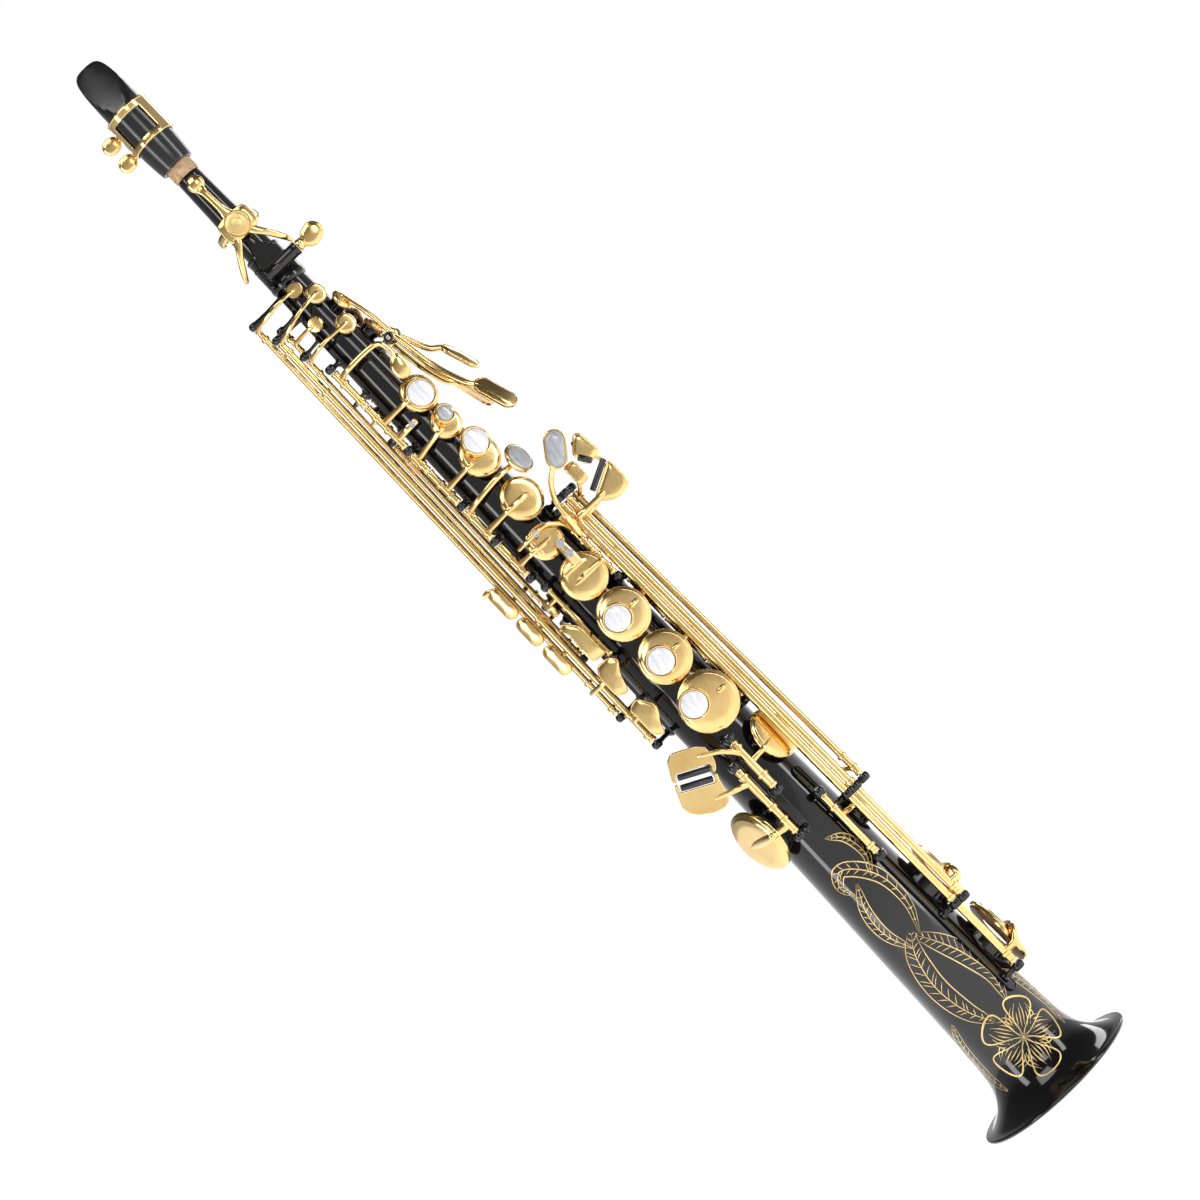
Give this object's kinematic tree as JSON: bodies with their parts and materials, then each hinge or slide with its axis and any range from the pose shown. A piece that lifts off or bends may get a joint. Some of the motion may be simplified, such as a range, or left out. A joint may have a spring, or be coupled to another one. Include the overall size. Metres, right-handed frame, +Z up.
{
  "type": "soprano saxophone",
  "caption": "Straight soprano saxophone with a conical tube, flared bell, sprung pad keys with finger pearls, palm and side keys, neck and mouthpiece.",
  "frame": {"origin": "centre of the bell's rim, on the flat end it stands on", "axes": "+Z up the tube from bell to mouthpiece, -Y the front with the finger pearls, +X the side of the little finger table and the bell keys"},
  "size_m": [0.0997, 0.0928, 0.703],
  "materials": {
    "gold_lacquer": "gloss lacquer",
    "black_lacquer": "gloss",
    "ebonite": "satin",
    "pearl": "gloss",
    "cane": "raw",
    "cork": "raw"
  },
  "bodies": {
    "body": {"body_tube": "black_lacquer", "bell_key_rib": "black_lacquer", "low_key_rib": "black_lacquer", "lower_stack_rib": "black_lacquer", "upper_stack_rib": "black_lacquer", "side_rib": "black_lacquer", "palm_rib": "black_lacquer", "octave_rib": "black_lacquer", "thumb_rest": "ebonite", "thumb_hook": "gold_lacquer", "strap_ring": "gold_lacquer", "neck_receiver": "black_lacquer", "neck_tube": "black_lacquer", "neck_cork": "cork", "mouthpiece": "ebonite", "reed": "cane", "ligature": "gold_lacquer"},
    "low_b_flat_key": {"low_b_flat_key": "gold_lacquer"},
    "low_b_key": {"low_b_key": "gold_lacquer"},
    "low_c_key": {"low_c_key": "gold_lacquer"},
    "d_key": {"d_key": "gold_lacquer", "d_pearl": "pearl"},
    "e_key": {"e_key": "gold_lacquer", "e_pearl": "pearl"},
    "f_key": {"f_key": "gold_lacquer", "f_pearl": "pearl"},
    "f_sharp_key": {"f_sharp_key": "gold_lacquer"},
    "g_key": {"g_key": "gold_lacquer", "g_pearl": "pearl"},
    "a_key": {"a_key": "gold_lacquer", "a_pearl": "pearl"},
    "bis_key": {"bis_key": "gold_lacquer", "bis_pearl": "pearl"},
    "b_key": {"b_key": "gold_lacquer", "b_pearl": "pearl"},
    "low_c_sharp_key": {"low_c_sharp_key": "gold_lacquer"},
    "eb_key": {"eb_key": "gold_lacquer"},
    "g_sharp_key": {"g_sharp_key": "gold_lacquer"},
    "side_e_key": {"side_e_key": "gold_lacquer"},
    "side_c_key": {"side_c_key": "gold_lacquer"},
    "side_b_flat_key": {"side_b_flat_key": "gold_lacquer"},
    "f_sharp_trill_key": {"f_sharp_trill_key": "gold_lacquer"},
    "high_f_sharp_key": {"high_f_sharp_key": "gold_lacquer"},
    "high_g_key": {"high_g_key": "gold_lacquer"},
    "body_octave_key": {"body_octave_key": "gold_lacquer"},
    "low_c_sharp_lever": {"low_c_sharp_lever": "gold_lacquer"},
    "g_sharp_lever": {"g_sharp_lever": "gold_lacquer", "g_sharp_pearl": "pearl"},
    "front_f_lever": {"front_f_lever": "gold_lacquer"},
    "thumb_octave_lever": {"thumb_octave_lever": "gold_lacquer"},
    "palm_f_key": {"palm_f_key": "gold_lacquer"},
    "palm_d_key": {"palm_d_key": "gold_lacquer"},
    "palm_e_flat_key": {"palm_e_flat_key": "gold_lacquer"},
    "neck_octave_key": {"neck_octave_key": "gold_lacquer"},
    "eb_roller": {"eb_roller": "ebonite"},
    "low_c_roller": {"low_c_roller": "ebonite"},
    "b_flat_roller": {"b_flat_roller": "ebonite"},
    "ligature_screw_lower": {"ligature_screw_lower": "gold_lacquer"},
    "ligature_screw_upper": {"ligature_screw_upper": "gold_lacquer"},
    "neck_screw": {"neck_screw": "gold_lacquer"}
  },
  "joints": [
    {"name": "low_b_flat_key_pivot", "type": "hinge", "parent": "body", "child": "low_b_flat_key", "pos_m": [0.02543, -0.01932, 0.073], "axis": [-0.0152, 0.0168, 0.9997], "range_deg": [0, 4.72], "stiffness_Nm_per_rad": 0.25},
    {"name": "low_b_key_pivot", "type": "hinge", "parent": "body", "child": "low_b_key", "pos_m": [0.02972, -0.01971, 0.115], "axis": [-0.0164, 0.0266, 0.9995], "range_deg": [0, 4.75], "stiffness_Nm_per_rad": 0.25},
    {"name": "low_c_key_pivot", "type": "hinge", "parent": "body", "child": "low_c_key", "pos_m": [-0.0078, -0.0256, 0.1895], "axis": [0, 0, 1], "range_deg": [-4.93, 0], "stiffness_Nm_per_rad": 0.25},
    {"name": "d_key_pivot", "type": "hinge", "parent": "body", "child": "d_key", "pos_m": [0.0202, -0.0101, 0.258], "axis": [0, 0, 1], "range_deg": [-4.31, 0], "stiffness_Nm_per_rad": 0.25},
    {"name": "e_key_pivot", "type": "hinge", "parent": "body", "child": "e_key", "pos_m": [0.0202, -0.0101, 0.2885], "axis": [0, 0, 1], "range_deg": [-4.31, 0], "stiffness_Nm_per_rad": 0.25},
    {"name": "f_key_pivot", "type": "hinge", "parent": "body", "child": "f_key", "pos_m": [0.0202, -0.0101, 0.318], "axis": [0, 0, 1], "range_deg": [-4.31, 0], "stiffness_Nm_per_rad": 0.25},
    {"name": "f_sharp_key_pivot", "type": "hinge", "parent": "body", "child": "f_sharp_key", "pos_m": [0.0162, -0.0136, 0.345], "axis": [0, 0, 1], "range_deg": [-5.17, 0], "stiffness_Nm_per_rad": 0.25},
    {"name": "g_key_pivot", "type": "hinge", "parent": "body", "child": "g_key", "pos_m": [-0.0155, -0.0125, 0.394], "axis": [0, 0, 1], "range_deg": [0, 4.15], "stiffness_Nm_per_rad": 0.25},
    {"name": "a_key_pivot", "type": "hinge", "parent": "body", "child": "a_key", "pos_m": [-0.0155, -0.0125, 0.4235], "axis": [0, 0, 1], "range_deg": [0, 4.15], "stiffness_Nm_per_rad": 0.25},
    {"name": "bis_key_pivot", "type": "hinge", "parent": "body", "child": "bis_key", "pos_m": [-0.0155, -0.0125, 0.447], "axis": [0, 0, 1], "range_deg": [0, 4.17], "stiffness_Nm_per_rad": 0.25},
    {"name": "b_key_pivot", "type": "hinge", "parent": "body", "child": "b_key", "pos_m": [-0.0155, -0.0125, 0.467], "axis": [0, 0, 1], "range_deg": [0, 4.13], "stiffness_Nm_per_rad": 0.25},
    {"name": "low_c_sharp_key_pivot", "type": "hinge", "parent": "body", "child": "low_c_sharp_key", "pos_m": [0.014, -0.0212, 0.147], "axis": [0, 0, 1], "range_deg": [-4.23, 0], "stiffness_Nm_per_rad": 0.25},
    {"name": "eb_key_pivot", "type": "hinge", "parent": "body", "child": "eb_key", "pos_m": [0, -0.026, 0.206], "axis": [0, 0, 1], "range_deg": [-2.88, 0], "stiffness_Nm_per_rad": 0.25},
    {"name": "g_sharp_key_pivot", "type": "hinge", "parent": "body", "child": "g_sharp_key", "pos_m": [-0.0155, -0.0125, 0.365], "axis": [0, 0, 1], "range_deg": [-5.42, 0], "stiffness_Nm_per_rad": 0.25},
    {"name": "side_e_key_pivot", "type": "hinge", "parent": "body", "child": "side_e_key", "pos_m": [-0.0245, 0.003, 0.318], "axis": [0.0199, 0, 0.9998], "range_deg": [-5.23, 0], "stiffness_Nm_per_rad": 0.25},
    {"name": "side_c_key_pivot", "type": "hinge", "parent": "body", "child": "side_c_key", "pos_m": [-0.0125, 0.02, 0.338], "axis": [0.0137, -0.0171, 0.9998], "range_deg": [-6.36, 0], "stiffness_Nm_per_rad": 0.25},
    {"name": "side_b_flat_key_pivot", "type": "hinge", "parent": "body", "child": "side_b_flat_key", "pos_m": [-0.02, 0.0125, 0.35], "axis": [0.0111, -0.0083, 0.9999], "range_deg": [-5.16, 0], "stiffness_Nm_per_rad": 0.25},
    {"name": "f_sharp_trill_key_pivot", "type": "hinge", "parent": "body", "child": "f_sharp_trill_key", "pos_m": [-0.013, -0.017, 0.308], "axis": [0, 0, 1], "range_deg": [0, 5.35], "stiffness_Nm_per_rad": 0.25},
    {"name": "high_f_sharp_key_pivot", "type": "hinge", "parent": "body", "child": "high_f_sharp_key", "pos_m": [-0.0275, -0.007, 0.262], "axis": [0.0111, 0, 0.9999], "range_deg": [-3.64, 0], "stiffness_Nm_per_rad": 0.25},
    {"name": "high_g_key_pivot", "type": "hinge", "parent": "body", "child": "high_g_key", "pos_m": [-0.0315, 0.001, 0.284], "axis": [0.0114, 0, 0.9999], "range_deg": [-3.22, 0], "stiffness_Nm_per_rad": 0.25},
    {"name": "body_octave_key_pivot", "type": "hinge", "parent": "body", "child": "body_octave_key", "pos_m": [-0.0195, 0.006, 0.523], "axis": [0, 0, 1], "range_deg": [-3.95, 0], "stiffness_Nm_per_rad": 0.25},
    {"name": "low_c_sharp_lever_pivot", "type": "hinge", "parent": "body", "child": "low_c_sharp_lever", "pos_m": [0.035, -0.015, 0.18], "axis": [-0.0272, 0.0429, 0.9987], "range_deg": [0, 5], "stiffness_Nm_per_rad": 0.25},
    {"name": "g_sharp_lever_pivot", "type": "hinge", "parent": "body", "child": "g_sharp_lever", "pos_m": [0.0162, -0.0136, 0.336], "axis": [0, 0, 1], "range_deg": [0, 4], "stiffness_Nm_per_rad": 0.25},
    {"name": "front_f_lever_pivot", "type": "hinge", "parent": "body", "child": "front_f_lever", "pos_m": [-0.0155, -0.0125, 0.365], "axis": [0, 0, 1], "range_deg": [-4, 0], "stiffness_Nm_per_rad": 0.25},
    {"name": "thumb_octave_lever_pivot", "type": "hinge", "parent": "body", "child": "thumb_octave_lever", "pos_m": [0.009, 0.018, 0.446], "axis": [0, 0, 1], "range_deg": [0, 6], "stiffness_Nm_per_rad": 0.25},
    {"name": "palm_f_key_pivot", "type": "hinge", "parent": "body", "child": "palm_f_key", "pos_m": [0.01827, -0.00813, 0.498], "axis": [0.4067, 0.9135, 0], "range_deg": [0, 3.44], "stiffness_Nm_per_rad": 0.25},
    {"name": "palm_d_key_pivot", "type": "hinge", "parent": "body", "child": "palm_d_key", "pos_m": [0.01989, 0.00209, 0.498], "axis": [-0.1045, 0.9945, 0], "range_deg": [0, 6], "stiffness_Nm_per_rad": 0.25},
    {"name": "palm_e_flat_key_pivot", "type": "hinge", "parent": "body", "child": "palm_e_flat_key", "pos_m": [0.01532, 0.01286, 0.498], "axis": [-0.6428, 0.766, 0], "range_deg": [0, 4.91], "stiffness_Nm_per_rad": 0.25},
    {"name": "neck_octave_key_pivot", "type": "hinge", "parent": "body", "child": "neck_octave_key", "pos_m": [0, -0.001, 0.59], "axis": [1, 0, 0], "range_deg": [0, 5], "stiffness_Nm_per_rad": 0.25},
    {"name": "eb_roller_pivot", "type": "hinge", "parent": "eb_key", "child": "eb_roller", "pos_m": [-0.0164, -0.0282, 0.2337], "axis": [-0.8909, 0, 0.4542], "continuous": true},
    {"name": "low_c_roller_pivot", "type": "hinge", "parent": "low_c_key", "child": "low_c_roller", "pos_m": [-0.0189, -0.0282, 0.2291], "axis": [-0.8921, 0, 0.4519], "continuous": true},
    {"name": "b_flat_roller_pivot", "type": "hinge", "parent": "low_b_flat_key", "child": "b_flat_roller", "pos_m": [0.0518, -0.0145, 0.3804], "axis": [-0.8921, 0, -0.4518], "continuous": true},
    {"name": "ligature_screw_lower_pivot", "type": "hinge", "parent": "body", "child": "ligature_screw_lower", "pos_m": [0.0046, 0.0144, 0.655], "axis": [1, 0, 0], "continuous": true},
    {"name": "ligature_screw_upper_pivot", "type": "hinge", "parent": "body", "child": "ligature_screw_upper", "pos_m": [0.0046, 0.0144, 0.667], "axis": [1, 0, 0], "continuous": true},
    {"name": "neck_screw_pivot", "type": "hinge", "parent": "body", "child": "neck_screw", "pos_m": [0, -0.0122, 0.5615], "axis": [1, 0, 0], "continuous": true}
  ],
  "couplings": [
    {"joint": "low_c_sharp_key_pivot", "follows": "low_c_sharp_lever_pivot", "ratio": -0.84515},
    {"joint": "g_sharp_key_pivot", "follows": "g_sharp_lever_pivot", "ratio": -1.3536},
    {"joint": "body_octave_key_pivot", "follows": "thumb_octave_lever_pivot", "ratio": -0.65768},
    {"joint": "neck_octave_key_pivot", "follows": "thumb_octave_lever_pivot", "ratio": 0.8325}
  ]
}
